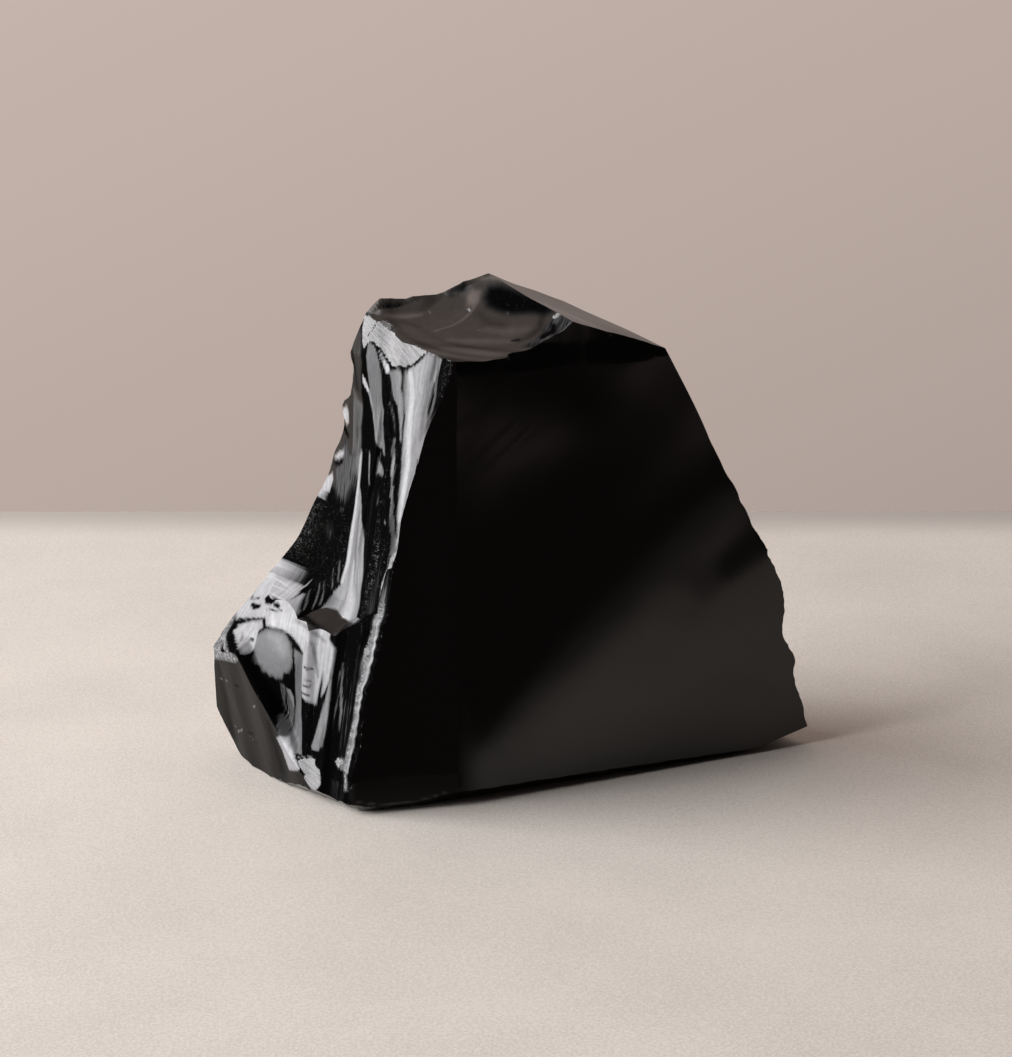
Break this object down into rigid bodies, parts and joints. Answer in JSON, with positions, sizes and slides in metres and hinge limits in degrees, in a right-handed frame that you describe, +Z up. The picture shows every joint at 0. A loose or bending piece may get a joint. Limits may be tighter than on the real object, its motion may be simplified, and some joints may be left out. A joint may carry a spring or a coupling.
{
  "type": "obsidian chunk",
  "caption": "Raw chunk of black volcanic glass with conchoidal fracture faces, standing on a flat cleaved base.",
  "frame": {"origin": "middle of the bounding box at the flat base, on the surface it stands on", "axes": "+X along the stone's length, towards its tapered right end; -Y is the side with the broad flat face and the fluted face; +Z up"},
  "size_m": [0.1058, 0.0692, 0.0856],
  "materials": {
    "obsidian": "opaque black glass, glossy on the broad faces, silvery along the flutes and greyish white where edges are crushed"
  },
  "bodies": {
    "root": {"obsidian_chunk": "obsidian"}
  },
  "joints": []
}
